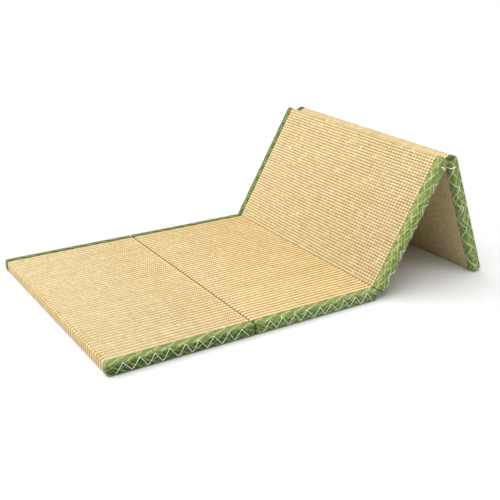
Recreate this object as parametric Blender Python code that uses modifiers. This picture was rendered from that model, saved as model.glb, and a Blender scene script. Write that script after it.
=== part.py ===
"""A folding tatami mat of four rush-covered panels.

Two panels lie flat and two stand up behind them as a tent. X runs along the mat, Y across it and Z up.
Sizes are in metres. Each panel has its own frame: x along its length from its first end, y across the
mat from the middle, and z through its thickness from the underside. Run it with
blender --background --python part.py or from Blender's text editor.
"""
import math
from collections import namedtuple

import bmesh
import bpy
from mathutils import Matrix, Vector

# The mat as it is bought, unfolded
MAT_LENGTH = 2.000
MAT_WIDTH = 0.900
THICKNESS = 0.040
PANEL_COUNT = 4

# How it stands
BACKREST_ANGLE = math.radians(60.6)     # panel 3 against the floor
STEEPEST_LEAN = math.radians(-85)       # panel 4 leans down at an angle between these two, found by halving
SHALLOWEST_LEAN = math.radians(-45)
HALVINGS = 50

# Edges of a panel: soft where the rush turns over the board, tight along a hinge
SOFT_RADIUS = 0.009
HINGE_RADIUS = 0.003
FOOT_PRESS = 0.0008                     # how far the foot's round edge is squashed on the floor

# Cloth bindings on the two long sides
BINDING_CLOTH = 0.001
BAND_TOP = 0.028
BAND_UNDERSIDE = 0.030

# Ribs of the rush weave, which run across the mat: closer on panels 1 and 2 than on panels 3 and 4
FLAT_RIB_PITCH = 0.0079
STANDING_RIB_PITCH = 0.0108
RIB_DEPTH = 0.0006
RIB_CREST_SHARE = 0.6                   # part of the pitch that is level
RIB_UNEVENNESS = 0.2                    # by how much of that the grooves differ

# Thread ties at the two ends of the ridge hinge
TIE_RADIUS = 0.0015
TIE_DEPTH = 0.018                       # how far in from the mat's side it crosses
TIE_SLANT_LEFT = 0.5                    # share of its slant that is left where it meets the lower edge

# One row a panel: where its end of a tie starts along the panel from the hinge and how far up its side,
# and where along the panel it goes round the lower edge
TieEnd = namedtuple("TieEnd", "start reach turn")
TIE_ON_PANEL_3 = TieEnd(0.031, 0.023, 0.034)
TIE_ON_PANEL_4 = TieEnd(0.033, 0.014, 0.028)

GAP = 0.0003                            # between pieces that touch
ARC_STEPS = 4                           # flats in a quarter round
MERGE_DISTANCE = 0.00002                # between points that are one
FACES_SIDEWAYS = 0.9                    # a normal this far along Y belongs to a side face

PANEL_LENGTH = MAT_LENGTH / PANEL_COUNT - GAP
HALF_WIDTH = MAT_WIDTH / 2

# One row a panel: the kind of edge at each end, underside and top, and the pitch of its ribs
Panel = namedtuple("Panel", "name start_under start_top end_under end_top rib_pitch")
PANELS = (
    Panel("panel_1", SOFT_RADIUS, SOFT_RADIUS, HINGE_RADIUS, SOFT_RADIUS, FLAT_RIB_PITCH),
    Panel("panel_2", HINGE_RADIUS, SOFT_RADIUS, SOFT_RADIUS, HINGE_RADIUS, FLAT_RIB_PITCH),
    Panel("panel_3", SOFT_RADIUS, HINGE_RADIUS, HINGE_RADIUS, SOFT_RADIUS, STANDING_RIB_PITCH),
    Panel("panel_4", HINGE_RADIUS, SOFT_RADIUS, SOFT_RADIUS, SOFT_RADIUS, STANDING_RIB_PITCH),
)


def clear_scene():
    for obj in list(bpy.data.objects):
        bpy.data.objects.remove(obj, do_unlink=True)


def new_collection(name):
    collection = bpy.data.collections.new(name)
    bpy.context.scene.collection.children.link(collection)
    return collection


def principled(name, colour, roughness):
    material = bpy.data.materials.new(name)
    material.use_nodes = True
    shader = material.node_tree.nodes["Principled BSDF"]
    shader.inputs["Base Color"].default_value = (*colour, 1.0)
    shader.inputs["Roughness"].default_value = roughness
    shader.inputs["Metallic"].default_value = 0.0
    return material


# Where each panel stands


def along(angle):
    """The unit vector at this angle above the X axis, in the XZ plane."""
    return Vector((math.cos(angle), 0.0, math.sin(angle)))


def panel_matrix(origin, angle):
    """A panel's own frame in the world: its x axis points at this angle above the floor."""
    return Matrix.Translation(origin) @ Matrix.Rotation(-angle, 4, "Y")


def hinged_matrix(pivot_before, turn_angle, angle, pivot_own):
    """A panel whose hinge edge lies a gap away from the one before it.

    The two edges are round with the same radius, so they touch along the line that halves the fold.
    """
    pivot = pivot_before + (2 * HINGE_RADIUS + GAP) * along(turn_angle)
    turned = Matrix.Rotation(-angle, 4, "Y") @ pivot_own
    return panel_matrix(pivot - turned, angle)


def ridge_panel_matrix(backrest, angle):
    """Panel 4 hung from the ridge of panel 3, at this angle (negative: it leans down)."""
    ridge_pivot = backrest @ Vector((PANEL_LENGTH - HINGE_RADIUS, 0.0, HINGE_RADIUS))
    fold = (BACKREST_ANGLE + angle) / 2
    return hinged_matrix(ridge_pivot, fold, angle, Vector((HINGE_RADIUS, 0.0, HINGE_RADIUS)))


def foot_height(matrix):
    """How high the lowest point of panel 4's round foot is."""
    centre = matrix @ Vector((PANEL_LENGTH - SOFT_RADIUS, 0.0, SOFT_RADIUS))
    return centre.z - SOFT_RADIUS


def panel_matrices():
    """The four panels' frames: two flat, the backrest, and panel 4 leaning so that its foot is pressed."""
    flat_1 = panel_matrix(Vector((0.0, 0.0, 0.0)), 0.0)
    flat_2 = panel_matrix(Vector((PANEL_LENGTH + GAP, 0.0, 0.0)), 0.0)
    valley_pivot = flat_2 @ Vector((PANEL_LENGTH - HINGE_RADIUS, 0.0, THICKNESS - HINGE_RADIUS))
    own_pivot = Vector((HINGE_RADIUS, 0.0, THICKNESS - HINGE_RADIUS))
    backrest = hinged_matrix(valley_pivot, BACKREST_ANGLE / 2, BACKREST_ANGLE, own_pivot)
    steep, shallow = STEEPEST_LEAN, SHALLOWEST_LEAN
    for _ in range(HALVINGS):
        angle = (steep + shallow) / 2
        if foot_height(ridge_panel_matrix(backrest, angle)) > -FOOT_PRESS:
            shallow = angle
        else:
            steep = angle
    return [flat_1, flat_2, backrest, ridge_panel_matrix(backrest, shallow)]


# Shapes


def edge_radius(panel, x_side, z_side):
    """The radius of a panel's cross edge, by its end (-1 or 1) and face (-1 under, 1 top)."""
    radii = {
        (-1, -1): panel.start_under,
        (-1, 1): panel.start_top,
        (1, -1): panel.end_under,
        (1, 1): panel.end_top,
    }
    return radii[(x_side, z_side)]


def box_mesh(name, low, high):
    """A box from a unit cube, with its size in its mesh."""
    mesh = bpy.data.meshes.new(name)
    bm = bmesh.new()
    bmesh.ops.create_cube(bm, size=1.0)
    size = Vector(high) - Vector(low)
    middle = (Vector(high) + Vector(low)) / 2
    bmesh.ops.scale(bm, vec=size, verts=bm.verts)
    bmesh.ops.translate(bm, vec=middle, verts=bm.verts)
    bm.to_mesh(mesh)
    bm.free()
    return mesh


def weigh_edges(mesh, panel, inset, full_width):
    """Gives each edge its share of the full bevel width: cross edges by the panel's row, others soft."""
    weights = mesh.attributes.new("bevel_weight_edge", "FLOAT", "EDGE")
    for edge in mesh.edges:
        ends = [mesh.vertices[index].co for index in edge.vertices]
        middle = (ends[0] + ends[1]) / 2
        runs_across = abs(ends[0].y - ends[1].y) > abs(ends[0].x - ends[1].x) + abs(ends[0].z - ends[1].z)
        radius = SOFT_RADIUS
        if runs_across:
            x_side = 1 if middle.x > PANEL_LENGTH / 2 else -1
            z_side = 1 if middle.z > THICKNESS / 2 else -1
            radius = edge_radius(panel, x_side, z_side)
        weights.data[edge.index].value = (radius - inset) / full_width


def evaluated_mesh(obj):
    """The object's mesh with its modifiers applied."""
    graph = bpy.context.evaluated_depsgraph_get()
    return bpy.data.meshes.new_from_object(obj.evaluated_get(graph))


def rounded_mesh(name, mesh, panel, inset, collection):
    """Rounds the box's edges with a weighted bevel and returns the mesh that comes out."""
    full_width = SOFT_RADIUS - inset
    weigh_edges(mesh, panel, inset, full_width)
    blank = bpy.data.objects.new(name + "_blank", mesh)
    collection.objects.link(blank)
    bevel = blank.modifiers.new("round edges", "BEVEL")
    bevel.width = full_width
    bevel.segments = ARC_STEPS
    bevel.limit_method = "WEIGHT"
    bevel.use_clamp_overlap = False
    rounded = evaluated_mesh(blank)
    rounded.name = name
    bpy.data.objects.remove(blank, do_unlink=True)
    return rounded


def press_on_floor(mesh, matrix, lowest):
    """Flattens what would be below this height in the world, as the mat's weight does to its foot."""
    back = matrix.inverted()
    for vertex in mesh.vertices:
        place = matrix @ vertex.co
        if place.z < lowest:
            place.z = lowest
            vertex.co = back @ place


def mirror_across(mesh):
    """Turns a near side mesh into the far side one."""
    mesh.transform(Matrix.Scale(-1, 4, Vector((0, 1, 0))))
    mesh.flip_normals()


def open_inner_side(mesh):
    """Takes the face towards the mat's middle off, and slants that rim out to the underside's band."""
    bm = bmesh.new()
    bm.from_mesh(mesh)
    rim_y = max(vert.co.y for vert in bm.verts)
    inner = [face for face in bm.faces if all(abs(vert.co.y - rim_y) < GAP for vert in face.verts)]
    bmesh.ops.delete(bm, geom=inner, context="FACES_ONLY")
    for vert in bm.verts:
        if abs(vert.co.y - rim_y) < GAP:
            vert.co.y = -HALF_WIDTH + band_at(vert.co.z)
    bm.to_mesh(mesh)
    bm.free()


def band_at(height):
    """How far the binding reaches in from the mat's side, at this height in the panel's thickness."""
    return BAND_UNDERSIDE + (BAND_TOP - BAND_UNDERSIDE) * height / THICKNESS


def binding_mesh(name, panel, matrix, collection):
    """The outer skin of a near side binding: a box open towards the middle of the mat."""
    low = (0.0, -HALF_WIDTH, 0.0)
    high = (PANEL_LENGTH, -HALF_WIDTH + BAND_TOP, THICKNESS)
    box = box_mesh(name, low, high)
    open_inner_side(box)
    skin = rounded_mesh(name, box, panel, 0.0, collection)
    press_on_floor(skin, matrix, 0.0)
    return skin


def arc_points(centre, radius, start_degrees):
    """A quarter round in the panel's xz plane, anticlockwise from this direction."""
    points = []
    for step in range(ARC_STEPS + 1):
        angle = math.radians(start_degrees + 90 * step / ARC_STEPS)
        points.append((centre[0] + radius * math.cos(angle), centre[1] + radius * math.sin(angle)))
    return points


def ribbed_line(start, end, face_z, inwards, rib_pitch):
    """The grooves between ribs along one face, from start to end in x. inwards is 1 or -1 in z."""
    length = end - start
    count = round(abs(length) / rib_pitch)
    pitch = length / count
    half_groove = pitch * (1 - RIB_CREST_SHARE) / 2
    points = []
    for index in range(1, count):
        groove = start + index * pitch
        depth = RIB_DEPTH * (1 + RIB_UNEVENNESS * math.sin(index * index))
        points.append((groove - half_groove, face_z))
        points.append((groove, face_z + inwards * depth))
        points.append((groove + half_groove, face_z))
    return points


def rush_outline(panel):
    """The ribbed section of a panel, anticlockwise from the underside of its first end."""
    length, top = PANEL_LENGTH, THICKNESS
    under_1, top_1 = panel.start_under, panel.start_top
    under_2, top_2 = panel.end_under, panel.end_top
    points = arc_points((under_1, under_1), under_1, 180)
    points += ribbed_line(under_1, length - under_2, 0.0, 1, panel.rib_pitch)
    points += arc_points((length - under_2, under_2), under_2, 270)
    points += arc_points((length - top_2, top - top_2), top_2, 0)
    points += ribbed_line(length - top_2, top_1, top, -1, panel.rib_pitch)
    points += arc_points((top_1, top - top_1), top_1, 90)
    return points


def rush_mesh(name, panel, matrix, collection):
    """The rush facing between the two bindings: the ribbed section as a flat curve, extruded across."""
    curve = bpy.data.curves.new(name, "CURVE")
    curve.dimensions = "2D"
    curve.fill_mode = "BOTH"
    curve.extrude = HALF_WIDTH - BAND_TOP - GAP
    outline = rush_outline(panel)
    spline = curve.splines.new("POLY")
    spline.points.add(len(outline) - 1)
    for point, (x, z) in zip(spline.points, outline):
        point.co = (x, z, 0.0, 1.0)
    spline.use_cyclic_u = True
    blank = bpy.data.objects.new(name + "_blank", curve)
    collection.objects.link(blank)
    mesh = evaluated_mesh(blank)
    bpy.data.objects.remove(blank, do_unlink=True)
    mesh.transform(Matrix.Rotation(math.radians(90), 4, "X"))
    bm = bmesh.new()
    bm.from_mesh(mesh)
    bmesh.ops.remove_doubles(bm, verts=bm.verts, dist=MERGE_DISTANCE)
    for vert in bm.verts:
        side = 1 if vert.co.y > 0 else -1
        vert.co.y = side * (HALF_WIDTH - band_at(vert.co.z) - GAP)
    bm.normal_update()
    sides = [face for face in bm.faces if abs(face.normal.y) > FACES_SIDEWAYS]
    bmesh.ops.delete(bm, geom=sides, context="FACES")
    rims = [edge for edge in bm.edges if edge.is_boundary]
    bmesh.ops.holes_fill(bm, edges=rims, sides=0)
    bmesh.ops.recalc_face_normals(bm, faces=bm.faces)
    bm.to_mesh(mesh)
    bm.free()
    press_on_floor(mesh, matrix, 0.0)
    return mesh


def board_mesh(name, panel, matrix, collection):
    """The part of a panel that reaches under its bindings: a rounded box, a cloth and a gap smaller."""
    inset = BINDING_CLOTH + GAP
    low = (inset, inset - HALF_WIDTH, inset)
    high = (PANEL_LENGTH - inset, HALF_WIDTH - inset, THICKNESS - inset)
    board = rounded_mesh(name, box_mesh(name, low, high), panel, inset, collection)
    press_on_floor(board, matrix, inset)
    return board


# The pieces


def add_piece(name, data, matrix, material, mat):
    obj = bpy.data.objects.new(name, data)
    obj.matrix_world = matrix
    data.materials.clear()
    data.materials.append(material)
    mat.objects.link(obj)
    return obj


def add_panel(panel, matrix, material, mat, guides):
    """One filled panel: the board that runs under the bindings, joined to its ribbed rush facing."""
    board = board_mesh(panel.name, panel, matrix, guides)
    obj = add_piece(panel.name + "_rush", board, matrix, material, mat)
    facing_name = panel.name + "_facing"
    facing = bpy.data.objects.new(facing_name, rush_mesh(facing_name, panel, matrix, guides))
    facing.matrix_world = matrix
    facing.hide_render = True
    facing.display_type = "WIRE"
    guides.objects.link(facing)
    union = obj.modifiers.new("join the facing", "BOOLEAN")
    union.operation = "UNION"
    union.solver = "EXACT"
    union.object = facing
    return obj


def add_binding(panel, side, matrix, material, mat, guides):
    """One cloth binding, folded over a long side and round its two corners."""
    name = "%s_binding_%s" % (panel.name, side)
    skin = binding_mesh(name, panel, matrix, guides)
    if side == "far":
        mirror_across(skin)
    obj = add_piece(name, skin, matrix, material, mat)
    cloth = obj.modifiers.new("cloth", "SOLIDIFY")
    cloth.thickness = BINDING_CLOTH
    cloth.offset = -1.0
    cloth.use_even_offset = True
    return obj


def tie_route(end, side_sign):
    """Half of a tie's route in a hinge end's frame: x away from the hinge, y out, z from the underside.

    It lies on the side of the binding, goes round its lower edge and in under the panel.
    """
    clear = TIE_RADIUS + GAP
    bend = SOFT_RADIUS + clear
    side_y = HALF_WIDTH - SOFT_RADIUS
    points = [Vector((end.start, side_sign * (side_y + bend), end.reach))]
    for step in range(ARC_STEPS + 1):
        share = step / ARC_STEPS
        angle = math.radians(90 * share)
        x = end.turn + (end.start - end.turn) * TIE_SLANT_LEFT * (1 - share)
        y = side_sign * (side_y + bend * math.cos(angle))
        z = SOFT_RADIUS - bend * math.sin(angle)
        points.append(Vector((x, y, z)))
    points.append(Vector((end.turn, side_sign * (HALF_WIDTH - TIE_DEPTH), -clear)))
    return points


def add_tie(name, side_sign, before, after, material, mat):
    """A thread from panel 3's binding, under both panels' edges, to panel 4's binding."""
    first = [before @ Vector((PANEL_LENGTH - p.x, p.y, p.z)) for p in tie_route(TIE_ON_PANEL_3, side_sign)]
    second = [after @ p for p in tie_route(TIE_ON_PANEL_4, side_sign)]
    route = first + second[::-1]
    curve = bpy.data.curves.new(name, "CURVE")
    curve.dimensions = "3D"
    curve.bevel_depth = TIE_RADIUS
    curve.bevel_resolution = 2
    curve.use_fill_caps = True
    spline = curve.splines.new("POLY")
    spline.points.add(len(route) - 1)
    for point, place in zip(spline.points, route):
        point.co = (*place, 1.0)
    return add_piece(name, curve, Matrix.Identity(4), material, mat)


def shift_to_centre(panels):
    """How far to slide the mat along X so that the origin is under the middle of its length."""
    reach = []
    for obj in panels:
        mesh = evaluated_mesh(obj)
        reach += [(obj.matrix_world @ vertex.co).x for vertex in mesh.vertices]
        bpy.data.meshes.remove(mesh)
    return Matrix.Translation(Vector((-(min(reach) + max(reach)) / 2, 0.0, 0.0)))


def build():
    clear_scene()
    mat = new_collection("folding tatami mat")
    guides = new_collection("guides")
    rush = principled("woven rush", (0.72, 0.50, 0.25), 0.75)
    cloth = principled("green binding cloth", (0.13, 0.22, 0.06), 0.85)
    thread = principled("white thread", (0.85, 0.86, 0.78), 0.7)
    matrices = panel_matrices()
    panels = []
    for panel, matrix in zip(PANELS, matrices):
        panels.append(add_panel(panel, matrix, rush, mat, guides))
        for side in ("near", "far"):
            add_binding(panel, side, matrix, cloth, mat, guides)
    for side, side_sign in (("near", -1), ("far", 1)):
        add_tie("ridge_tie_" + side, side_sign, matrices[2], matrices[3], thread, mat)
    bpy.context.view_layer.update()
    shift = shift_to_centre(panels)
    for obj in list(mat.objects) + list(guides.objects):
        obj.matrix_world = shift @ obj.matrix_world


build()
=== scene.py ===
"""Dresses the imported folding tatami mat: woven rush panels, green bindings, zigzag seams and ridge ties."""
import math
from collections import namedtuple

import bpy
import numpy as np
from mathutils import Matrix, Vector


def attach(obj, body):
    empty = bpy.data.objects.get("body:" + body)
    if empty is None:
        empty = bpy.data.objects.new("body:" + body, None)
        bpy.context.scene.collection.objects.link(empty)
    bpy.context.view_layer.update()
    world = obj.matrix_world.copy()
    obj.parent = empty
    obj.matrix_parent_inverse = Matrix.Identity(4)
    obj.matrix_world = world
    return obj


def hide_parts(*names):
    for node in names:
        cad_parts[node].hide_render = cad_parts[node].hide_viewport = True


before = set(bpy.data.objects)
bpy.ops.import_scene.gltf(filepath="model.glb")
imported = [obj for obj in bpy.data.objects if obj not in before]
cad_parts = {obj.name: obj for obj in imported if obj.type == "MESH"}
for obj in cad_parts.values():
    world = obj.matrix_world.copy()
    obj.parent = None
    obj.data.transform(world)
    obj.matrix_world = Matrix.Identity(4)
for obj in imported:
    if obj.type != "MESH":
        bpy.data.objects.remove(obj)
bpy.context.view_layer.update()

# The panels, as in the part: corner roundings at the two ends, and how far apart the ribs are. Then how many
# bundles of stalks lie side by side, and how many crossings a rib has on the underside
Build = namedtuple("Build", "start_under start_top end_under end_top rib_pitch bundles underside_samples")
SOFT = 0.009
HINGE = 0.003
FLAT_RIB_PITCH = 0.0079
STANDING_RIB_PITCH = 0.0108
PANELS = (
    Build(SOFT, SOFT, HINGE, SOFT, FLAT_RIB_PITCH, 52, 2),
    Build(HINGE, SOFT, SOFT, HINGE, FLAT_RIB_PITCH, 51, 2),
    Build(SOFT, HINGE, HINGE, SOFT, STANDING_RIB_PITCH, 62, 2),
    Build(HINGE, SOFT, SOFT, SOFT, STANDING_RIB_PITCH, 58, 3),
)
HALF_WIDTH = 0.45
BAND_TOP = 0.028
BAND_UNDERSIDE = 0.030
BEND = SOFT * math.pi / 2                # round a binding's lower or upper corner
SIDE_START = BAND_UNDERSIDE - SOFT + BEND    # round the binding, from its lower rim to its side

# Rush matting
CREST_BELOW = 0.0004                     # the matting's highest beads lie this far under the binding's face
VALLEY_DEPTH = 0.0011
GROOVE_DEPTH = 0.0010
TUCKED_BELOW = 0.0016                    # under the binding
RIM_TUCK = 0.0029                        # and at its rim there
MATTING_HALF = 0.4455                    # from the panel's middle line to that rim
LEVEL_HALF = 0.4405                      # and to where the matting begins to turn down to it
SHOWN_SHORT = 0.0006                     # the matting that shows ends this far before the lower band
TUCK_STEP = 0.0012                       # and steps down over this width
RIB_SHAPES = {                           # a rib's crossings, by their number: how far over it, and how high
    4: ((0.0, -1.0), (0.22, -0.3), (0.5, 0.0), (0.78, -0.3)),
    3: ((0.0, -1.0), (0.32, -0.12), (0.68, -0.12)),
    2: ((0.0, -1.0), (0.5, 0.0)),
}
BUNDLE_SHAPE = ((0.0, -1.0), (0.2, -0.3), (0.5, 0.0), (0.8, -0.3))
TOP_SAMPLES = 4
END_SAMPLES = 3
ROUND_SAMPLES = 4
BEAD_SPREAD = 0.00006                    # how far beads stand out more or less than the others
BEAD_LIMITS = (-0.0003, 0.0002)
SHALLOW_SHARE = 0.02                     # of the crossings are half as deep as the others
SWAY = 0.0022                            # of the bundles, across the panel
WANDER = 0.0011                          # of the ribs, along it
SLACK = 0.00025                          # up and down
BOUND_HALF = 0.44                        # the bindings hold the matting from here outwards
FREE_REACH = (0.02, 0.07)                # and leave it free to stray this far inwards
END_REACH = (0.012, 0.03)                # as the panel's ends do
TONE_SPREAD = 0.17
TONE_SHARES = (0.8, 0.3, 0.2)            # of a bead, its bundle and its rib in how light it is
CRACK_SHADE = 0.6                        # how much darker it is deep in the fold of panels 1 and 2
CRACK_DEPTHS = (0.0062, 0.0018)          # dark under the first depth, lit over the second
CRACK_REACH = (0.009, 0.012)             # from the panel's end
ROLLED_SHADE = 0.26                      # on panel 2's rolled edge beside the fold
ROLLED_REACH = (0.016, 0.022)
CORNER_SHADE = 0.12                      # in the valley before the backrest
CORNER_REACH = (0.0032, 0.0055)
STALK = 0.0034                           # from stalk to stalk in the material

# Binding cloth
CLOTH = 0.0010
CORD_RISE = 0.00035
PUFF = 0.0004
LATTICE = 0.028                          # between the lattice's lines, measured across the band
LATTICE_LEAN = 0.55                      # how far a line steps across for each step along
STRAND = 0.056                           # between the long strands on the top bands of panels 1 and 2
STRAND_SLANT = 2.3                       # how far along a strand runs for each step across
SIDE_SHADES = (1.25, 0.75, 0.3, 0.3)   # painted shade: how much darker the ground is made on the four panels' sides
FAR_GROUND = 0.7                         # how much darker the far bindings' ground is made
FOLD_SHADE = 1.8                        # painted shade at the folds between panels
FOLD_REACH = (0.0005, 0.0060)
RIM_PERIOD = 0.049                       # of the rims' waves, and of the painted shadow notches along them
RIM_WAVE = 0.0005
RIPPLE_PERIOD = 0.021
RIM_RIPPLE = 0.0003
PUFF_WAVES = 8
BODY_STEPS = 186                         # crossings along the cloth, round each end and in over it
TURN_STEPS = 6
END_STEPS = 5
WARP = 0.0013                            # between the cloth's threads
WEFT = 0.0011

# Zigzag seams
THREAD = 0.00074
THREAD_TWIST = 0.006
SEAM_SPACING = 0.0014                    # between a thread's rings
SEAM_STEPS = 14                          # points on the cloth from one turn to the next
SEAM_LIFT = 0.0007                       # over the cloth between two turns
SEAM_SUNK = 0.0014                       # where it goes into the cloth at its two ends
DIMPLE = 0.0007
DIMPLE_SIZE = 0.0035
FLAT_STITCHES = 9
FLAT_START = 0.027
FLAT_MARGINS = 0.053                     # what the stitches leave free at both ends together
FLAT_LOW = (0.12, 0.36)                  # how far round the lower bend they turn, from the side
FLAT_HIGH = (0.28, 0.66)                 # and round the upper one
FLAT_STRAY = 0.0018                      # of a lower turn along the panel
STRAY = 0.002                            # and of any other
Seam = namedtuple("Seam", "first pitch rise first_lead")
STANDING_SEAMS = {3: Seam(0.098, 0.0840, 0.014, 0.048), 4: Seam(0.033, 0.0866, 0.006, 0.053)}
LEAD = 0.048                             # from a turn on the side to the next one underneath
LAST_STITCH = 0.020                      # no turn but the last one lies nearer to the panel's end

# Ridge ties
TIE = 0.0015
TIE_INWARDS = 0.018
TIE_CLEAR = 0.0003
TIE_SAG = 0.0015
TIE_TWIST = 0.009
TIE_SPACING = 0.0008
TIE_SIDES = 14
TieEnd = namedtuple("TieEnd", "start reach turn")
TIE_ON_PANEL_3 = TieEnd(0.031, 0.023, 0.034)
TIE_ON_PANEL_4 = TieEnd(0.033, 0.014, 0.028)
PLY_SWELL = 0.16
END_TAPER = 0.55

# Camera and light
CAMERA_TURN = (-33.60, 21.95, 1.31)      # azimuth, elevation and roll in degrees
CAMERA_PLACE = (-1.5515, -2.3577, 1.2167)
CAMERA_LENS = 59.86
ROOM_LIGHT = 0.38
OVERHEAD_LIGHT = 4.0
OVERHEAD_SPREAD = 80                     # degrees
PANEL_LIGHT = 24
PANEL_LIGHT_SIZE = 1.4


class Panel:
    """One stiff panel: its make, and where it lies, read from its near binding's solid.

    In a panel's own frame x runs from its first end, y across from the middle and z up from its underside.
    """

    def __init__(self, number, make, whole=None):
        self.number = number
        self.make = make
        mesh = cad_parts[f"panel_{number}_binding_near"].data
        flat_faces = [f for f in mesh.polygons if abs(f.normal.y) < 0.1]
        normal = max(flat_faces, key=lambda f: f.area).normal
        if normal.z < 0:
            normal = -normal
        self.lean = math.atan2(-normal.x, normal.z)
        co = np.empty(len(mesh.vertices) * 3)
        mesh.vertices.foreach_get("co", co)
        co = co.reshape(-1, 3)
        cos, sin = math.cos(self.lean), math.sin(self.lean)
        along = co[:, 0] * cos + co[:, 2] * sin
        above = co[:, 2] * cos - co[:, 0] * sin
        self.length = whole.length if whole else float(np.ptp(along))
        self.thick = whole.thick if whole else float(np.ptp(above))
        self.corner = (along.min() * cos - above.min() * sin, along.min() * sin + above.min() * cos)

    def place(self, points):
        """Takes points from the panel's own frame to the shared frame, pressed flat at the floor."""
        cos, sin = math.cos(self.lean), math.sin(self.lean)
        x = self.corner[0] + points[..., 0] * cos - points[..., 2] * sin
        z = self.corner[1] + points[..., 0] * sin + points[..., 2] * cos
        return np.stack((x, points[..., 1], np.maximum(z, 0.0)), axis=-1)


def read_panels():
    """The four panels. The first lies flat and isn't pressed, so it gives all their length and thickness."""
    first = Panel(1, PANELS[0])
    others = [Panel(number, PANELS[number - 1], first) for number in (2, 3, 4)]
    return [first, *others]


def drift(across, along, rng, waves, rates):
    """A smooth field from about -1 to 1, made of waves. rates gives the fewest and the most to a metre."""
    total = np.zeros(np.broadcast(across, along).shape)
    for _ in range(waves):
        heading = rng.uniform(0, 2 * math.pi)
        rate = rng.uniform(*rates) * 2 * math.pi
        begin = rng.uniform(0, 6.3)
        total = total + np.sin((across * math.cos(heading) + along * math.sin(heading)) * rate + begin)
    return total / waves * 1.8


def ease(value, start, end):
    """0 before start, 1 after end, smooth between."""
    share = np.clip((value - start) / (end - start), 0, 1)
    return share * share * (3 - 2 * share)


def deselect():
    if bpy.context.object and bpy.context.object.mode != "OBJECT":
        bpy.ops.object.mode_set(mode="OBJECT")
    bpy.ops.object.select_all(action="DESELECT")


def select_only(obj):
    deselect()
    obj.select_set(True)
    bpy.context.view_layer.objects.active = obj


def laid_grid(name, points, uv):
    """A grid added flat, whose crossings are then laid at points, an array of rows by columns by 3."""
    rows, columns = points.shape[:2]
    deselect()
    bpy.ops.mesh.primitive_grid_add(x_subdivisions=columns - 1, y_subdivisions=rows - 1, size=1)
    obj = bpy.context.object
    obj.name = name
    mesh = obj.data
    mesh.name = name
    if len(mesh.vertices) != rows * columns:
        raise RuntimeError(f"{name}: the grid has {len(mesh.vertices)} crossings")
    mesh.vertices.foreach_set("co", points.reshape(-1).astype(np.float32))
    corner_of = np.empty(len(mesh.loops), dtype=np.int32)
    mesh.loops.foreach_get("vertex_index", corner_of)
    mesh.uv_layers[0].data.foreach_set("uv", uv.reshape(-1, 2)[corner_of].reshape(-1).astype(np.float32))
    mesh.update()
    return obj


def paint(obj, name, values):
    """Keeps a number for each vertex, for the material to read."""
    layer = obj.data.attributes.new(name, "FLOAT", "POINT")
    layer.data.foreach_set("value", np.asarray(values, dtype=np.float32).reshape(-1))


def weld(obj, cap=False, distance=0.00002):
    """Merges the grid's meeting edges, closes its open ends if asked, and turns its faces out."""
    select_only(obj)
    bpy.ops.object.mode_set(mode="EDIT")
    bpy.ops.mesh.select_all(action="SELECT")
    bpy.ops.mesh.remove_doubles(threshold=distance)
    if cap:
        bpy.ops.mesh.select_all(action="SELECT")
        bpy.ops.mesh.fill_holes(sides=0)
    bpy.ops.mesh.select_all(action="SELECT")
    bpy.ops.mesh.normals_make_consistent(inside=False)
    bpy.ops.object.mode_set(mode="OBJECT")


def flip_if_inside_out(obj, middle):
    """Turns an open sheet's faces over if they look towards middle."""
    outward = sum(f.area * f.normal.dot(f.center - middle) for f in obj.data.polygons)
    if outward < 0:
        select_only(obj)
        bpy.ops.object.mode_set(mode="EDIT")
        bpy.ops.mesh.select_all(action="SELECT")
        bpy.ops.mesh.flip_normals()
        bpy.ops.object.mode_set(mode="OBJECT")


def smooth(obj, degrees):
    select_only(obj)
    bpy.ops.object.shade_smooth_by_angle(angle=math.radians(degrees))


def coat(obj, finish):
    obj.data.materials.clear()
    obj.data.materials.append(finish)


def band_at(height, thick):
    """How wide the binding is on an end face at a height: a little wider below."""
    return BAND_UNDERSIDE + (BAND_TOP - BAND_UNDERSIDE) * height / thick


# Rush matting


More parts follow.
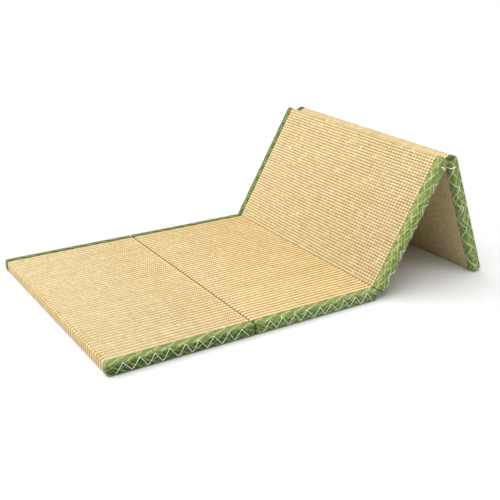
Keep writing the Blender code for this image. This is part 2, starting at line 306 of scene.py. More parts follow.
def wrap_samples(panel):
    """Where the matting's crossings lie round a panel: rows of x, z, outward x, outward z, length so far,
    rib height from -1 to 0, rib number, and 1 on the two broad faces."""
    make, length, thick = panel.make, panel.length, panel.thick
    rows = []
    run = 0.0
    rib_number = 0

    def straight(start, end, normal, samples, ribbed):
        nonlocal run, rib_number
        start, end = np.array(start), np.array(end)
        span = float(np.linalg.norm(end - start))
        if ribbed:
            ribs = max(1, round(span / make.rib_pitch))
            places = [((r + phase) / ribs, height, rib_number + r)
                      for r in range(ribs) for phase, height in RIB_SHAPES[samples]]
            rib_number += ribs
        else:
            places = [(k / samples, 0.0, rib_number) for k in range(samples)]
            rib_number += 1
        for share, height, number in places:
            p = start + (end - start) * share
            rows.append((p[0], p[1], *normal, run + span * share, height, number, 1.0 if ribbed else 0.0))
        run += span

    def turn(centre, radius, first, last, ribbed=False):
        """A quarter round; a ribbed one carries two more of the broad face's ribs over the edge."""
        nonlocal run
        arc = radius * math.radians(abs(last - first))
        for k in range(ROUND_SAMPLES):
            angle = math.radians(first + (last - first) * k / ROUND_SAMPLES)
            out = (math.cos(angle), math.sin(angle))
            height = -0.9 if ribbed and k % 2 == 0 else 0.0
            rows.append((centre[0] + radius * out[0], centre[1] + radius * out[1], *out,
                         run + arc * k / ROUND_SAMPLES, height, rib_number, 1.0 if ribbed else 0.0))
        run += arc

    su, st, eu, et = make.start_under, make.start_top, make.end_under, make.end_top
    under = make.underside_samples
    straight((length / 2, 0), (su, 0), (0, -1), under, True)
    turn((su, su), su, 270, 180)
    straight((0, su), (0, thick - st), (-1, 0), END_SAMPLES, False)
    turn((st, thick - st), st, 180, 90)
    straight((st, thick), (length - et, thick), (0, 1), TOP_SAMPLES, True)
    turn((length - et, thick - et), et, 90, 0, ribbed=panel.number == 3)
    straight((length, thick - et), (length, eu), (1, 0), END_SAMPLES, False)
    turn((length - eu, eu), eu, 0, -90)
    straight((length - eu, 0), (length / 2, 0), (0, -1), under, True)
    x, z, out_x, out_z, _, height, _, broad = rows[0]
    rows.append((x, z, out_x, out_z, run, height, rib_number, broad))
    return np.array(rows)


def across_samples(panel):
    """Where the matting's crossings lie across a panel: rows of y, groove height from -1 to 0, bundle
    number, and how far they are tucked under the bindings."""
    inner = HALF_WIDTH - BAND_UNDERSIDE - SHOWN_SHORT
    bundles = panel.make.bundles
    pitch = 2 * inner / bundles
    tucks = ((MATTING_HALF, RIM_TUCK), (LEVEL_HALF, TUCKED_BELOW), (inner + TUCK_STEP, TUCKED_BELOW))
    rows = [(-y, 0.0, 0, below) for y, below in tucks]
    for b in range(bundles):
        for phase, height in BUNDLE_SHAPE:
            rows.append((-inner + (b + phase) * pitch, height, b, 0.0))
    rows.append((inner, -1.0, bundles - 1, 0.0))
    rows += [(y, 0.0, bundles - 1, below) for y, below in reversed(tucks)]
    return np.array(rows)


def shut_corner(panel, x, z):
    """1 where two panels' matting meets in the valley between the flat part and the backrest, else 0."""
    if panel.number not in (2, 3):
        return 0.0
    at = panel.length if panel.number == 2 else 0.0
    away = np.hypot(x - at, z - panel.thick)
    return 1 - ease(away, *CORNER_REACH)


def rolled_edge(panel, x, z):
    """1 where panel 2's matting rolls over its upper edge beside panel 1, with its bundles well apart."""
    return (panel.number == 2) * (1 - ease(x, *ROLLED_REACH)) * (z > panel.thick / 2)


def crack_shade(panel, x, z):
    """How much light reaches the matting: less in the fold of panels 1 and 2, and in the valley."""
    valley = 1 - CORNER_SHADE * shut_corner(panel, x, z)
    if panel.number > 2:
        return valley
    from_end = panel.length - x if panel.number == 1 else x
    deep, lit_from = CRACK_DEPTHS
    lit = ease(z, panel.thick - deep, panel.thick - lit_from)
    down = 1 - ease(from_end, *CRACK_REACH)
    return (1 - CRACK_SHADE * down * (1 - lit)) * (1 - ROLLED_SHADE * rolled_edge(panel, x, z)) * valley


def weave_look(number, along, across, under):
    """How deep the ribs and the grooves are over a panel, how warm its straw is and how bright.

    along runs from 0 at its first end to 1, across from 0 at its near edge to 1, and under is 1 on the
    underside.
    """
    if number == 1:
        rise = 0.9 * along ** 2
        rib, groove, warm = 0.65 + rise, 0.6 + rise, 0.5 - 0.25 * along
        bright = 0.83 + 0.03 * along + 0.34 * along ** 2 + 0.10 * across
    elif number == 2:
        rib, groove, warm = 1.2 - 0.45 * along, 1.2 + 1.4 * along, 0.25 + 0.6 * along
        bright = 1.16
    elif number == 3:
        low_near = (1 - along) * (1 - across)
        rib, groove, warm = 0.93, 0.2 + 0.36 * along + 0.4 * low_near, 1.2 - 0.2 * along
        # painted shade: darker towards the near edge
        bright = 0.768 + 0.09 * along + 0.075 * across
    else:
        rib, groove, warm = 1.0 + 0.2 * under, 0.75 - 0.4 * under, 0.35 + 0.1 * under
        # painted shade: panel 4 darker, most on its underside inside the tent
        bright = 0.92 - 0.15 * under
    level = np.ones(np.broadcast(along, across).shape)
    return rib * (1 - 0.3 * under), groove * (1 - 0.65 * under), warm * level, bright * level


def add_rush(panel, finish):
    """A stiff filled panel wrapped in rush matting: cross ribs, and bundles of stalks that run over them."""
    rng = np.random.default_rng(70 + panel.number)
    wrap = wrap_samples(panel)
    across = across_samples(panel)
    x, z, out_x, out_z, run, rib, rib_of, broad = (wrap[:, k][None, :] for k in range(8))
    y, groove, bundle_of, tucked = (across[:, k][:, None] for k in range(4))
    ribs = int(rib_of.max()) + 2
    bundles = panel.make.bundles
    at = (bundle_of.astype(int), rib_of.astype(int))

    bead = np.clip(rng.normal(0, BEAD_SPREAD, (bundles, ribs)), *BEAD_LIMITS)
    valley = VALLEY_DEPTH * rng.uniform(0.86, 1.08, (bundles, ribs))
    valley[rng.random((bundles, ribs)) < SHALLOW_SHARE] *= 0.5
    open_groove = rng.uniform(0.85, 1.12, (bundles, ribs))
    whole_groove = rng.uniform(0.7, 1.25, (bundles, 1))
    open_groove = (open_groove + np.roll(open_groove, 1, axis=1) + whole_groove) / 3
    shown = (tucked == 0) * 1.0
    under = broad * (out_z < 0)
    along = x / panel.length
    ribbed, grooved, warm, bright = weave_look(panel.number, along, 0.5 + 0.5 * y / HALF_WIDTH, under)
    closed = shut_corner(panel, x, z)
    rolled = rolled_edge(panel, x, z)
    end_face = (panel.number == 1) * (1 - broad) * (x < panel.length / 2)
    dips = rib * valley[at] * broad * ribbed * (1 - rolled)
    dips = dips + groove * GROOVE_DEPTH * open_groove[at] * (grooved + 0.5 * rolled + 0.6 * end_face)
    height = -CREST_BELOW * (1 - closed) - tucked + shown * (
        dips * (1 - 0.6 * closed) + bead[at] * (0.3 + 0.7 * broad) * (1 - closed))

    near_end = np.minimum(x, panel.length - x)
    free = ease(BOUND_HALF - np.abs(y), *FREE_REACH)
    sway = drift(y, run, rng, 9, (2.0, 9.0)) * SWAY * free
    wander = drift(y, run, rng, 9, (1.0, 6.0)) * WANDER * free * ease(near_end, *END_REACH) * broad
    slack = drift(y, run, rng, 7, (1.0, 4.0)) * SLACK * free * broad

    rise = height + slack
    points = np.stack(np.broadcast_arrays(
        x + out_x * rise + wander, y + sway * shown, z + out_z * rise), axis=-1)
    uv = np.stack(np.broadcast_arrays(run + panel.number * 1.3, y + 0.5), axis=-1)
    obj = laid_grid(f"panel_{panel.number}_rush_matting", panel.place(points), uv)
    # The relief drives the painted highlight on the beads and the painted shade in their dips; it is lowered
    # on the ends and roundings, except in the valley and on panel 2's rolled edge.
    bead_depth = VALLEY_DEPTH * 0.7 + GROOVE_DEPTH * 0.7
    relief = np.clip(1 + (dips + bead[at] - tucked) / bead_depth, 0, 1)
    paint(obj, "relief", relief * (0.74 + 0.26 * np.maximum(broad, np.maximum(0.8 * closed, rolled))))
    # Painted shade: the fold of panels 1 and 2, panel 2's rolled edge beside it and the valley
    # are darkened through the bright attribute and made browner through the warm attribute
    shade = crack_shade(panel, x, z)
    paint(obj, "warm", warm + 0.3 * closed + 0.5 * end_face + 1.5 * (1 - shade))
    paint(obj, "bright", bright * shade * (1 + 0.24 * end_face))
    tone = 0
    for share, shape in zip(TONE_SHARES, ((bundles, ribs), (bundles, 1), (1, ribs))):
        tone = tone + rng.normal(0, 1, shape) * share
    paint(obj, "tone", np.clip(0.5 + TONE_SPREAD * tone[at], -0.2, 1.3))
    weld(obj, cap=True)
    smooth(obj, 60)
    coat(obj, finish)
    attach(obj, "root")
    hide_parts(f"panel_{panel.number}_rush")
    return obj


# Bindings


def legs_of(thick):
    """The binding's five legs from its lower rim to its upper one: name and length."""
    return (("under", BAND_UNDERSIDE - SOFT), ("lower", BEND), ("side", thick - 2 * SOFT), ("upper", BEND),
            ("top", BAND_TOP - SOFT))


def side_end(thick):
    """How far round the binding its side ends, from the lower rim."""
    return SIDE_START + thick - 2 * SOFT


def facing(leg, share):
    """Which way a leg faces, in degrees from straight down."""
    return {"under": 0, "lower": 90 * share, "side": 90, "upper": 90 + 90 * share, "top": 180}[leg]


def section_rows(thick):
    """The binding's rows round a long edge: leg name, share along the leg, and length from the lower rim."""
    rows = []
    run = 0.0
    for (name, span), steps in zip(legs_of(thick), (8, 6, 9, 6, 7)):
        rows += [(name, k / steps, run + span * k / steps) for k in range(steps)]
        run += span
    rows.append(("top", 1.0, run))
    return rows


def fold_point(leg, share, insets, thick):
    """A point of the binding's section, y and z, where the under, side and top faces are inset this far."""
    under, side, top = insets
    bend_y = max(SOFT - side, 0)
    low_z = max(SOFT - under, 0)
    high_z = max(SOFT - top, 0)
    y_side = -HALF_WIDTH + side
    if leg == "under":
        rim = -HALF_WIDTH + band_at(under, thick)
        return rim + (y_side + bend_y - rim) * share, under
    if leg == "top":
        rim = -HALF_WIDTH + band_at(thick - top, thick)
        return y_side + bend_y + (rim - y_side - bend_y) * share, thick - top
    if leg == "side":
        low, high = under + low_z, thick - top - high_z
        return y_side, low + (high - low) * share
    angle = math.radians(90 * share)
    if leg == "lower":
        return y_side + bend_y * (1 - math.sin(angle)), under + low_z * (1 - math.cos(angle))
    return y_side + bend_y * (1 - math.cos(angle)), thick - top - high_z * (1 - math.sin(angle))


def leg_shares(leg, share):
    """How far the under, side and top roundings govern a row."""
    if leg == "under":
        return 1.0, 0.0, 0.0
    if leg == "top":
        return 0.0, 0.0, 1.0
    if leg == "side":
        return 0.0, 1.0, 0.0
    turned = share * share * (3 - 2 * share)
    return (1 - turned, turned, 0.0) if leg == "lower" else (0.0, 1 - turned, turned)


def lattice_lines(u, v, sine):
    """The two sets of lattice lines, as lengths across them. They stray alike in shape and in colour."""
    lean = u * LATTICE_LEAN
    one = lean + v + sine(u * 90 + v * 60) * 0.0010 + sine(u * 260 - v * 140) * 0.0004
    two = lean - v + sine(u * 80 - v * 80 + 2.0) * 0.0010 + sine(u * 230 + v * 170 + 1.0) * 0.0004
    return one, two


class Binding:
    """The cloth over one long edge of one panel, as a surface that seams can be laid on."""

    def __init__(self, panel, far):
        self.panel = panel
        self.far = far
        self.seed = panel.number * 10 + (5 if far else 0)
        self.offset = panel.number * 0.7 + (0.35 if far else 0)
        self.rng = np.random.default_rng(self.seed)
        puffs = np.random.default_rng(self.seed + 500)
        self.puffs = [(puffs.uniform(-1, 1) * 240, puffs.uniform(-1, 1) * 300, puffs.uniform(0, 6.3))
                      for _ in range(PUFF_WAVES)]
        self.stitches = self.stitch_places()

    def stitch_places(self):
        """The zigzag's turns in order: x along the panel, and length round the edge from the lower rim."""
        rng, length, number = self.rng, self.panel.length, self.panel.number
        side_top = side_end(self.panel.thick)
        turns = []
        if number <= 2:
            pitch = (length - FLAT_MARGINS) / FLAT_STITCHES
            for k in range(FLAT_STITCHES + 1):
                low_x = FLAT_START + k * pitch + rng.normal(0, FLAT_STRAY)
                turns.append((low_x, SIDE_START - BEND * rng.uniform(*FLAT_LOW)))
                if k < FLAT_STITCHES:
                    high_x = low_x + pitch * 0.5 + rng.normal(0, STRAY)
                    turns.append((high_x, side_top + BEND * rng.uniform(*FLAT_HIGH)))
            return turns
        seam = STANDING_SEAMS[number]
        if number == 3:
            turns.append((seam.first - 0.036, 0.003))
        x = seam.first
        while x < length - LAST_STITCH:
            turns.append((x + rng.normal(0, STRAY), SIDE_START + seam.rise + rng.uniform(-0.003, 0.004)))
            lead = seam.first_lead if x == seam.first else LEAD
            if x + lead < length - LAST_STITCH:
                turns.append((x + lead + rng.normal(0, STRAY), 0.0025 + rng.uniform(0, 0.0025)))
            x += seam.pitch
        turns.append((length - 0.016, SIDE_START - BEND * 0.75))
        if number == 3:
            turns = [(length - x, round_edge) for x, round_edge in turns[::-1]]
        return turns

    def swell(self, x, round_edge):
        """How far the cloth stands out of the plain edge: puffs, raised cords and dimples at the turns."""
        length = self.panel.length
        puff = sum(np.sin(x * a + round_edge * b + c) for a, b, c in self.puffs)
        puff = puff / len(self.puffs) * PUFF * 1.5
        one, two = lattice_lines(x + self.offset, round_edge, np.sin)
        one = np.abs(one / LATTICE % 1 - 0.5) * 2
        two = np.abs(two / LATTICE % 1 - 0.5) * 2
        cords = (ease(np.maximum(one, two), 0.6, 0.95) - 0.3) * CORD_RISE
        dimple = 0
        for sx, sr in self.stitches:
            away = (x - sx) ** 2 + (round_edge - sr) ** 2
            dimple = dimple + np.exp(-away / DIMPLE_SIZE ** 2) * DIMPLE
        fade = ease(np.minimum(x, length - x), 0.002, 0.014)
        return (puff + cords - dimple) * fade

    def surface(self, x, round_edge):
        """A point on the cloth and its outward direction, in the panel's frame."""
        thick = self.panel.thick
        left = round_edge
        for leg, span in legs_of(thick):
            if left <= span or leg == "top":
                break
            left -= span
        share = left / span
        y, z = fold_point(leg, share, (0.0, 0.0, 0.0), thick)
        turned = math.radians(facing(leg, share))
        out = Vector((0, -math.sin(turned), -math.cos(turned)))
        point = Vector((x, float(y), float(z))) + out * float(self.swell(x, round_edge))
        if self.far:
            point.y, out.y = -point.y, -out.y
        return point, out


def ground_darkening(binding, x, round_edge, lip):
    """How much the cloth's ground is darkened: painted shade and shadow, most on flat panels' sides, rims and
    folds.
    """
    side_top = side_end(binding.panel.thick)
    number = binding.panel.number
    depth = SIDE_SHADES[number - 1]
    down = 1 - ease(round_edge, side_top - 0.004, side_top + 0.010)
    # painted shadow along the rim, deepest at a dark notch once every RIM_PERIOD
    notch = ease(np.cos((x + 0.012 * binding.seed) * 2 * math.pi / RIM_PERIOD), 0.5, 0.97)
    rim = ease(lip, 0.80, 1.0) * (0.45 + 0.8 * notch)
    shaded = np.maximum(depth * down, rim)
    if binding.far:
        shaded = np.maximum(shaded, FAR_GROUND)
    if number > 1:
        shaded = np.maximum(shaded, FOLD_SHADE * (1 - ease(x, *FOLD_REACH)))
    if number < 4:
        shaded = np.maximum(shaded, FOLD_SHADE * (1 - ease(binding.panel.length - x, *FOLD_REACH)))
    return shaded


def top_share(binding, round_edge):
    """1 where the cloth lies on the top of a flat panel, where its long strands show."""
    side_top = side_end(binding.panel.thick)
    return ease(round_edge, side_top - 0.001, side_top + 0.008) * (1.0 if binding.panel.number <= 2 else 0.0)


def cloth_columns():
    """The binding's columns along its panel: the kind, and how far through it they lie."""
    columns = [("start_face", 1 - k / END_STEPS) for k in range(END_STEPS)]
    columns += [("start_turn", 90 * (1 - k / TURN_STEPS)) for k in range(TURN_STEPS)]
    columns += [("body", k / BODY_STEPS) for k in range(BODY_STEPS)]
    columns += [("end_turn", 90 * k / TURN_STEPS) for k in range(TURN_STEPS)]
    columns += [("end_face", k / END_STEPS) for k in range(END_STEPS + 1)]
    return columns


def cloth_crossing(column, row_radii, end_radii, length, thick):
    """Where a column crosses a row: x, the length along the cloth, and how far the faces are inset there.

    row_radii are the row's own roundings at the panel's two ends, end_radii those of the three faces.
    """
    kind, amount = column
    if kind == "body":
        first, last = row_radii
        x = first + (length - first - last) * amount
        return x, x, (0.0, 0.0, 0.0)
    end = 0 if kind.startswith("start") else 1
    own, radii = row_radii[end], end_radii[end]
    if kind.endswith("turn"):
        bend = math.radians(amount)
        insets = tuple(r * (1 - math.cos(bend)) for r in radii)
        from_end = own * (1 - math.sin(bend))
        past = own - own * bend
    else:
        insets = tuple(r + (thick / 2 - r) * amount for r in radii)
        from_end = 0.0
        past = own - own * math.pi / 2 - (thick / 2 - own) * amount
    if end == 0:
        return from_end, past, insets
    return length - from_end, length - past, insets


def add_binding(binding, finish):
    """A strip of patterned cloth folded over a long edge, its ends boxed in over the panel's end faces."""
    panel = binding.panel
    make, length, thick = panel.make, panel.length, panel.thick
    rows = section_rows(thick)
    columns = cloth_columns()
    end_radii = ((make.start_under, SOFT, make.start_top), (make.end_under, SOFT, make.end_top))
    points = np.zeros((len(rows), len(columns), 3))
    uv = np.zeros((len(rows), len(columns), 2))
    for j, (leg, share, round_edge) in enumerate(rows):
        governs = leg_shares(leg, share)
        row_radii = [sum(r * g for r, g in zip(radii, governs)) for radii in end_radii]
        for i, column in enumerate(columns):
            x, u, insets = cloth_crossing(column, row_radii, end_radii, length, thick)
            points[j, i] = (x, *fold_point(leg, share, insets, thick))
            uv[j, i] = (u, round_edge)
    hold = np.array([[kind == "body" for kind, _ in columns]]) * 1.0

    # The cloth's rims aren't cut dead straight
    lip = np.array([{"under": 1 - share, "top": share}.get(leg, 0.0) for leg, share, _ in rows])
    lip = ease(lip, 0.45, 1.0)[:, None]
    x_all = points[..., 0]
    rim_wave = np.sin(x_all * 2 * math.pi / RIM_PERIOD + binding.seed) * RIM_WAVE
    rim_wave = rim_wave + np.sin(x_all * 2 * math.pi / RIPPLE_PERIOD + 2 * binding.seed) * RIM_RIPPLE
    points[..., 1] += lip * hold * rim_wave

    round_all = np.array([r for _, _, r in rows])[:, None]
    lift = binding.swell(x_all, round_all) * hold
    turned = np.radians([facing(leg, share) for leg, share, _ in rows])
    out_y = -np.sin(turned)[:, None]
    out_z = -np.cos(turned)[:, None]
    points[..., 1] += out_y * lift
    points[..., 2] += out_z * lift
    if binding.far:
        points[..., 1] *= -1
    side = "far" if binding.far else "near"
    uv[..., 0] += binding.offset
    obj = laid_grid(f"panel_{panel.number}_edge_cloth_{side}", panel.place(points), uv)
    # the ground attribute carries painted shade and shadow for the material
    paint(obj, "ground", ground_darkening(binding, x_all, round_all, lip))
    paint(obj, "top", np.broadcast_to(top_share(binding, round_all), x_all.shape))
    weld(obj)
    middle = panel.place(np.array([length / 2, 0.0, thick / 2]))
    flip_if_inside_out(obj, Vector(middle))
    wall = obj.modifiers.new("cloth", "SOLIDIFY")
    wall.thickness = CLOTH
    wall.offset = -1
    wall.use_even_offset = True
    select_only(obj)
    bpy.ops.object.modifier_apply(modifier=wall.name)
    smooth(obj, 55)
    coat(obj, finish)
    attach(obj, "root")
    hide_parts(f"panel_{panel.number}_binding_{side}")
    return obj


# Threads


def add_thread(name, route, radius, plies, twist, finish, spacing, sides=8):
    """A twisted thread along a route of points. Its plies wind round one another."""
    route = [Vector(p) for p in route]
    lengths = [0.0]
    for a, b in zip(route, route[1:]):
        lengths.append(lengths[-1] + (b - a).length)
    rings = max(3, int(lengths[-1] / spacing))
    centres = []
    for k in range(rings + 1):
        run = lengths[-1] * k / rings
        index = min(np.searchsorted(lengths, run, side="right"), len(route) - 1)
        span = lengths[index] - lengths[index - 1]
        share = (run - lengths[index - 1]) / span if span else 0
        centres.append(route[index - 1].lerp(route[index], share))
    normal = (centres[1] - centres[0]).orthogonal().normalized()
    points = np.zeros((rings + 1, sides + 1, 3))
    uv = np.zeros((rings + 1, sides + 1, 2))
    for k, centre in enumerate(centres):
        before = centres[max(k - 1, 0)]
        after = centres[min(k + 1, rings)]
        heading = (after - before).normalized()
        normal = (normal - heading * normal.dot(heading)).normalized()
        other = heading.cross(normal)
        run = lengths[-1] * k / rings
        taper = END_TAPER if k in (0, rings) else 1.0
        for s in range(sides + 1):
            angle = 2 * math.pi * s / sides
            swell = 1 + PLY_SWELL * math.cos(plies * angle - 2 * math.pi * run / twist)
            p = centre + (normal * math.cos(angle) + other * math.sin(angle)) * radius * swell * taper
            points[k, s] = p
            uv[k, s] = (run, angle * radius)
    points[..., 2] = np.maximum(points[..., 2], 0.0)
    obj = laid_grid(name, points, uv)
    weld(obj, cap=True, distance=0.00001)
    smooth(obj, 70)
    coat(obj, finish)
    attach(obj, "root")
    return obj


def add_zigzag(binding, finish):
    """The seam that holds the binding's edge: a thread that runs over the cloth from turn to turn."""
    route = []
    turns = binding.stitches
    first, last = turns[0], turns[-1]
    point, out = binding.surface(*first)
    route.append(point - out * SEAM_SUNK)
    for (xa, ra), (xb, rb) in zip(turns, turns[1:]):
        for k in range(SEAM_STEPS + (1 if (xb, rb) == last else 0)):
            share = k / SEAM_STEPS
            lift = SEAM_LIFT * min(1.0, 5 * min(share, 1 - share))
            point, out = binding.surface(xa + (xb - xa) * share, ra + (rb - ra) * share)
            route.append(point + out * (lift + 0.4 * THREAD))
    point, out = binding.surface(*last)
    route.append(point - out * SEAM_SUNK)
    placed = binding.panel.place(np.array([tuple(p) for p in route]))
    side = "far" if binding.far else "near"
    name = f"panel_{binding.panel.number}_zigzag_seam_{side}"
    return add_thread(name, placed, THREAD, 2, THREAD_TWIST, finish, SEAM_SPACING)


def tie_half(end, side_sign):
    """Half of a ridge tie, in a hinge end's frame: out of the side's cloth, down it and under the panel."""
    bend = SOFT + TIE + TIE_CLEAR
    flank = HALF_WIDTH - SOFT
    points = [Vector((end.start + 0.0012, side_sign * (HALF_WIDTH - 0.0016), end.reach + 0.003)),
              Vector((end.start + 0.0006, side_sign * (HALF_WIDTH + 0.0006), end.reach + 0.0022)),
              Vector((end.start, side_sign * (flank + bend), end.reach))]
    for step in range(9):
        share = step / 8
        angle = math.radians(90 * share)
        x = end.turn + (end.start - end.turn) * 0.5 * (1 - share) + TIE_SAG * math.sin(math.pi * share)
        y = side_sign * (flank + bend * math.cos(angle))
        points.append(Vector((x, y, SOFT - bend * math.sin(angle))))
    points.append(Vector((end.turn, side_sign * (HALF_WIDTH - TIE_INWARDS), -TIE - TIE_CLEAR)))
    return points


def rounded(points, rounds=3):
    """Cuts a route's corners off, again and again, so that it bends smoothly."""
    for _ in range(rounds):
        cut = [points[0]]
        for a, b in zip(points, points[1:]):
            cut += [a.lerp(b, 0.25), a.lerp(b, 0.75)]
        points = cut + [points[-1]]
    return points


def add_tie(side, panels, finish):
    """The thick white thread that ties panel 3 to panel 4 under the ridge."""
    side_sign = -1 if side == "near" else 1
    first = [Vector((panels[2].length - p.x, p.y, p.z)) for p in tie_half(TIE_ON_PANEL_3, side_sign)]
    second = tie_half(TIE_ON_PANEL_4, side_sign)
    route = [Vector(panels[2].place(np.array(p))) for p in first]
    route += [Vector(panels[3].place(np.array(p))) for p in second[::-1]]
    name = f"ridge_tie_thread_{side}"
    obj = add_thread(name, rounded(route), TIE, 3, TIE_TWIST, finish, TIE_SPACING, TIE_SIDES)
    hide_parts(f"ridge_tie_{side}")
    return obj


# Finishes


class Wire:
    """A number that a material works out: sums on it add Math nodes."""

    def __init__(self, maker, socket):
        self.maker = maker
        self.socket = socket

    def _sum(self, operation, *others):
        return self.maker.maths(operation, self, *others)

    def __add__(self, other):
        return self._sum("ADD", other)

    __radd__ = __add__

    def __mul__(self, other):
        return self._sum("MULTIPLY", other)

    __rmul__ = __mul__

    def __sub__(self, other):
        return self._sum("SUBTRACT", other)

    def __rsub__(self, other):
        return self.maker.maths("SUBTRACT", other, self)

    def __truediv__(self, other):
        return self._sum("DIVIDE", other)

    def __abs__(self):
        return self._sum("ABSOLUTE")

    def fract(self):
        return self._sum("FRACT")

    def most(self, other):
        return self._sum("MAXIMUM", other)

    def sine(self):
        return self._sum("SINE")


class Finish:
    """One material and its nodes."""

    def __init__(self, name):
        self.material = bpy.data.materials.new(name)
        self.material.use_nodes = True
        self.tree = self.material.node_tree
        self.tree.nodes.clear()
        self.output = self.tree.nodes.new("ShaderNodeOutputMaterial")

    @staticmethod
    def _find(sockets, key):
        if isinstance(key, int):
            return sockets[key]
        for socket in sockets:
            if key in (socket.identifier, socket.name):
                return socket
        raise KeyError(key)

    def node(self, kind, settings, sockets, result=0):
        """Adds a node: first its settings, then its sockets' values or links. Gives one of its outputs."""
        made = self.tree.nodes.new(kind)
        for key, value in settings.items():
            if key == "stops":
                ramp = made.color_ramp.elements
                while len(ramp) < len(value):
                    ramp.new(0.5)
                for element, (position, colour) in zip(ramp, value):
                    element.position = position
                    element.color = (*colour, 1)
            else:
                setattr(made, key, value)
        for key, value in sockets.items():
            socket = self._find(made.inputs, key)
            if isinstance(value, Wire):
                self.tree.links.new(value.socket, socket)
            else:
                socket.default_value = value
        return Wire(self, self._find(made.outputs, result))

    def maths(self, operation, *values):
        return self.node("ShaderNodeMath", {"operation": operation}, dict(enumerate(values)))

    def step(self, value, start, end):
        """0 before start, 1 after end, smooth between."""
        return self.node("ShaderNodeMapRange", {"interpolation_type": "SMOOTHSTEP"},
                         {"Value": value, "From Min": start, "From Max": end})

    def mix(self, share, first, second, blend="MIX"):
        a = (*first, 1) if isinstance(first, tuple) else first
        b = (*second, 1) if isinstance(second, tuple) else second
        return self.node("ShaderNodeMix", {"data_type": "RGBA", "blend_type": blend},
                         {"Factor_Float": share, "A_Color": a, "B_Color": b}, "Result_Color")

    def attribute(self, name):
        return self.node("ShaderNodeAttribute", {"attribute_name": name}, {}, "Fac")

    def uv(self):
        return self.node("ShaderNodeUVMap", {"uv_map": "UVMap"}, {}, "UV")

    def parts(self, vector):
        node = self.node("ShaderNodeSeparateXYZ", {}, {"Vector": vector}, "X")
        outputs = node.socket.node.outputs
        return node, Wire(self, outputs["Y"])

    def place(self, x, y, z=0.0):
        return self.node("ShaderNodeCombineXYZ", {}, {"X": x, "Y": y, "Z": z}, "Vector")

    def noise(self, vector, scale, detail, rough=0.5):
        return self.node("ShaderNodeTexNoise", {"noise_dimensions": "3D"},
                         {"Vector": vector, "Scale": scale, "Detail": detail, "Roughness": rough}, "Fac")

    def grey(self, shade):
        sockets = {"Red": shade, "Green": shade, "Blue": shade}
        return self.node("ShaderNodeCombineColor", {}, sockets, "Color")

    def bump(self, height, distance, strength):
        sockets = {"Height": height, "Distance": distance, "Strength": strength}
        return self.node("ShaderNodeBump", {}, sockets, "Normal")

    def surface(self, sockets):
        shader = self.node("ShaderNodeBsdfPrincipled", {}, sockets, "BSDF")
        self.tree.links.new(shader.socket, self.output.inputs["Surface"])
        return self.material


def tint(red, green, blue):
    """A colour given in screen values from 0 to 255, as the light value that a material takes."""
    def light(value):
        value = value / 255
        return value / 12.92 if value <= 0.04045 else ((value + 0.055) / 1.055) ** 2.4
    return tuple(light(v) for v in (red, green, blue))


def rush_finish():
    """Dried rush: straw stalks side by side in slow patches, painted highlights on beads, painted brown shade
    in dips.
    """
    f = Finish("woven_rush")
    run, across = f.parts(f.uv())
    relief = f.attribute("relief")
    tone = f.attribute("tone")
    warm = f.attribute("warm")
    streak = f.noise(f.place(run * 14, across * 620), 1.0, 2.0, 0.6)
    stalk = abs((across / STALK + streak * 0.7).fract() - 0.5) * 2
    patch = f.noise(f.place(run * 5, across * 5, 3.0), 1.0, 2.0)
    pink = f.noise(f.place(run * 9, across * 9, 11.0), 1.0, 1.0)
    fleck = f.noise(f.place(run * 160, across * 260, 5.0), 1.0, 2.0, 0.6)

    dip = 1 - relief
    light = f.mix(tone, tint(212, 191, 138), tint(232, 216, 168))
    # painted highlight on the beads' tops
    light = f.mix(f.step(relief, 0.55, 0.98) * 0.4, light, tint(248, 237, 200))
    # painted shade, brown, in the dips between the beads
    colour = f.mix(f.step(dip, 0.10, 0.80), light, tint(152, 123, 76))
    # browner by the warm attribute: the straw's own warmth, and painted shade in the fold and the valley
    colour = f.mix(warm * 0.55, colour, (1.0, 0.92, 0.78), "MULTIPLY")
    colour = f.mix(f.step(pink, 0.5, 0.72) * 0.12, colour, tint(212, 180, 138))
    colour = f.mix(f.step(patch, 0.52, 0.75) * 0.07, colour, tint(186, 174, 118))
    shade = 0.93 + 0.12 * streak - 0.10 * f.step(stalk, 0.72, 1.0) + 0.22 * (fleck - 0.5)
    # of panels 1 and 2, the painted shade is also tinted brown
    # the bright attribute holds each panel's brightness and painted shade; where it is lowest, in the fold
    bright = f.attribute("bright")
    colour = f.mix(1 - f.step(bright, 0.45, 0.72), colour, (1.0, 0.77, 0.42), "MULTIPLY")
    colour = f.mix(1.0, colour, f.grey(shade * bright), "MULTIPLY")
    bumps = (1 - f.step(stalk, 0.45, 1.0)) * 0.8 + streak * 0.4
    return f.surface({
        "Base Color": colour,
        "Roughness": 0.62 - 0.14 * relief + 0.1 * (streak - 0.5),
        "Specular IOR Level": 0.35,
        "Normal": f.bump(bumps, 0.0004, 0.6),
    })


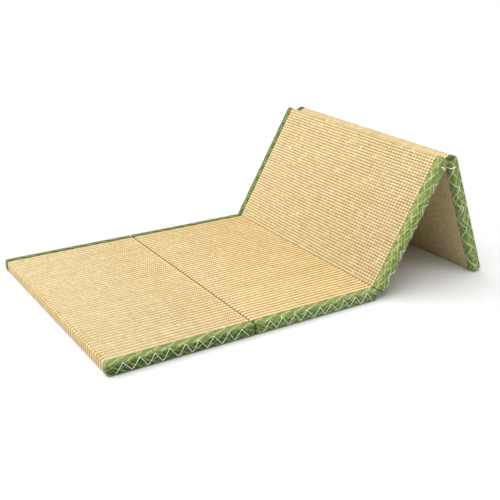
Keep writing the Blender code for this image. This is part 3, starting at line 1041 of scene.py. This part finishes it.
def binding_finish():
    """Green binding cloth woven with a lattice of light raised cords over a darker crosshatched ground."""
    f = Finish("green_binding_cloth")
    u, v = f.parts(f.uv())
    ground = f.attribute("ground")
    one, two = lattice_lines(u, v, lambda wire: wire.sine())

    def cords(across, layer):
        wide = f.step(abs((across / LATTICE).fract() - 0.5) * 2, 0.62, 0.93)
        narrow = f.step(abs((across / (LATTICE / 2)).fract() - 0.5) * 2, 0.45, 0.9)
        vary = f.noise(f.place(u * 75, v * 75, layer), 1.0, 2.0)
        wide = wide * (0.35 + 0.65 * f.step(vary, 0.34, 0.6))
        return wide.most(narrow * f.step(vary, 0.42, 0.62) * 0.75)

    def hatching(across):
        return f.step(abs((across / (LATTICE / 5)).fract() - 0.5) * 2, 0.35, 0.85)

    top = f.attribute("top")
    along = u - v * STRAND_SLANT + (u * 130).sine() * 0.003 + (u * 310 + v * 200).sine() * 0.003
    main = f.step(abs((along / STRAND).fract() - 0.5) * 2, 0.62, 0.88)
    minor = f.step(abs((along / STRAND * 3).fract() - 0.5) * 2, 0.4, 0.85) * 0.55
    cord = (cords(one, 1.0).most(cords(two, 4.0)) * (1 - 0.7 * top)).most(main.most(minor) * top * 0.95)
    hatch = hatching(one).most(hatching(two))
    weave = (u * (2 * math.pi / WARP)).sine() * (v * (2 * math.pi / WEFT)).sine()
    speck = f.noise(f.place(u * 240, v * 240, 2.0), 1.0, 2.0, 0.7)
    blotch = f.noise(f.place(u * 50, v * 50, 5.0), 1.0, 2.0)
    between = 1 - cord
    tone = 0.40 + 0.34 * cord + 0.20 * (hatch - 0.5) * between + 0.60 * (speck - 0.5) + 0.34 * (blotch - 0.5)
    # painted shade and shadow from the ground attribute, deepest between the cords
    tone = tone - ground * (0.17 + 0.30 * between * f.step(speck, 0.46, 0.62))
    tone = tone - top * between * (0.02 + 0.22 * f.step(speck, 0.44, 0.62))
    colour = f.node("ShaderNodeValToRGB", {"stops": (
        (0.0, tint(26, 42, 10)),
        (0.2, tint(62, 82, 32)),
        (0.42, tint(106, 126, 64)),
        (0.62, tint(148, 157, 92)),
        (0.95, tint(206, 208, 152)))}, {"Fac": tone}, "Color")
    fresh = f.noise(f.place(u * 32, v * 32, 9.0), 1.0, 1.0)
    colour = f.mix(f.step(fresh, 0.46, 0.6) * 0.6, colour, (0.86, 1.0, 0.86), "MULTIPLY")
    height = cord + hatch * 0.35 + weave * 0.10 + speck * 0.3
    return f.surface({
        "Base Color": colour,
        "Roughness": 0.84 - 0.12 * cord,
        "Specular IOR Level": 0.25,
        "Sheen Weight": 0.15,
        "Normal": f.bump(height, 0.0007, 0.8),
    })


def thread_finish(name, dull, bright):
    """Pale thread, its plies and fibres along it."""
    f = Finish(name)
    run, around = f.parts(f.uv())
    ply = ((run / 0.0022 + around / 0.0026) * (2 * math.pi)).sine()
    fibre = f.noise(f.place(run * 900, around * 3000), 1.0, 2.0)
    colour = f.mix(f.step(fibre, 0.3, 0.6), dull, bright)
    return f.surface({
        "Base Color": colour,
        "Roughness": 0.6 + 0.15 * fibre,
        "Normal": f.bump(ply * 0.5 + fibre * 0.5, 0.0002, 0.6),
    })


def floor_finish():
    f = Finish("pale_floor")
    grain = f.noise(f.node("ShaderNodeTexCoord", {}, {}, "Object"), 40.0, 2.0)
    return f.surface({
        "Base Color": f.mix(grain, (0.66, 0.66, 0.658), (0.68, 0.68, 0.678)),
        "Roughness": 0.9,
        "Specular IOR Level": 0.0,
    })


# Stage


def add_floor():
    deselect()
    bpy.ops.mesh.primitive_plane_add(size=80)
    floor = bpy.context.object
    floor.name = "floor"
    floor.data.materials.append(floor_finish())


def aim(lamp, heading):
    lamp.rotation_euler = Vector(heading).to_track_quat("-Z", "Y").to_euler()


def add_studio():
    """A white room's even light, a wide soft light from above on the left and a light low on the right."""
    world = bpy.data.worlds.new("studio")
    bpy.context.scene.world = world
    world.use_nodes = True
    backdrop = world.node_tree.nodes["Background"]
    backdrop.inputs["Color"].default_value = (1.0, 1.0, 1.0, 1.0)
    backdrop.inputs["Strength"].default_value = ROOM_LIGHT
    deselect()
    bpy.ops.object.light_add(type="SUN", location=(-1.5, 1.0, 3.0))
    overhead = bpy.context.object
    overhead.name = "overhead"
    overhead.data.energy = OVERHEAD_LIGHT
    overhead.data.angle = math.radians(OVERHEAD_SPREAD)
    aim(overhead, (0.42, -0.08, -0.90))
    deselect()
    bpy.ops.object.light_add(type="AREA", location=(2.1, -2.5, 0.9))
    fill = bpy.context.object
    fill.name = "right_panel_light"
    fill.data.size = PANEL_LIGHT_SIZE
    fill.data.energy = PANEL_LIGHT
    aim(fill, (-1.5, 2.1, -0.6))
    bpy.context.scene.view_settings.view_transform = "Standard"


def add_camera():
    """At the photo's place: to the front left of the mat and above it."""
    azimuth, elevation, roll = (math.radians(a) for a in CAMERA_TURN)
    level_reach = math.cos(elevation)
    back = Vector((math.sin(azimuth) * level_reach, -math.cos(azimuth) * level_reach, math.sin(elevation)))
    level = (-back).cross(Vector((0, 0, 1))).normalized()
    upright = level.cross(-back)
    right = level * math.cos(roll) + upright * math.sin(roll)
    up = upright * math.cos(roll) - level * math.sin(roll)
    turn = Matrix((right, up, back)).transposed().to_4x4()
    deselect()
    bpy.ops.object.camera_add()
    camera = bpy.context.object
    camera.name = "camera"
    camera.matrix_world = Matrix.Translation(CAMERA_PLACE) @ turn
    camera.data.sensor_width = 36
    camera.data.lens = CAMERA_LENS
    camera.data.clip_end = 200
    bpy.context.scene.camera = camera


def write_sizes():
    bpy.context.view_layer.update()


def main():
    add_camera()
    add_studio()
    add_floor()
    rush, cloth = rush_finish(), binding_finish()
    thread = thread_finish("pale_seam_thread", tint(236, 239, 216), tint(250, 252, 238))
    tie_thread = thread_finish("white_tie_thread", tint(248, 249, 244), tint(255, 255, 252))
    panels = read_panels()
    for panel in panels:
        add_rush(panel, rush)
        for far in (False, True):
            binding = Binding(panel, far)
            add_binding(binding, cloth)
            add_zigzag(binding, thread)
    for side in ("near", "far"):
        add_tie(side, panels, tie_thread)
    write_sizes()


main()
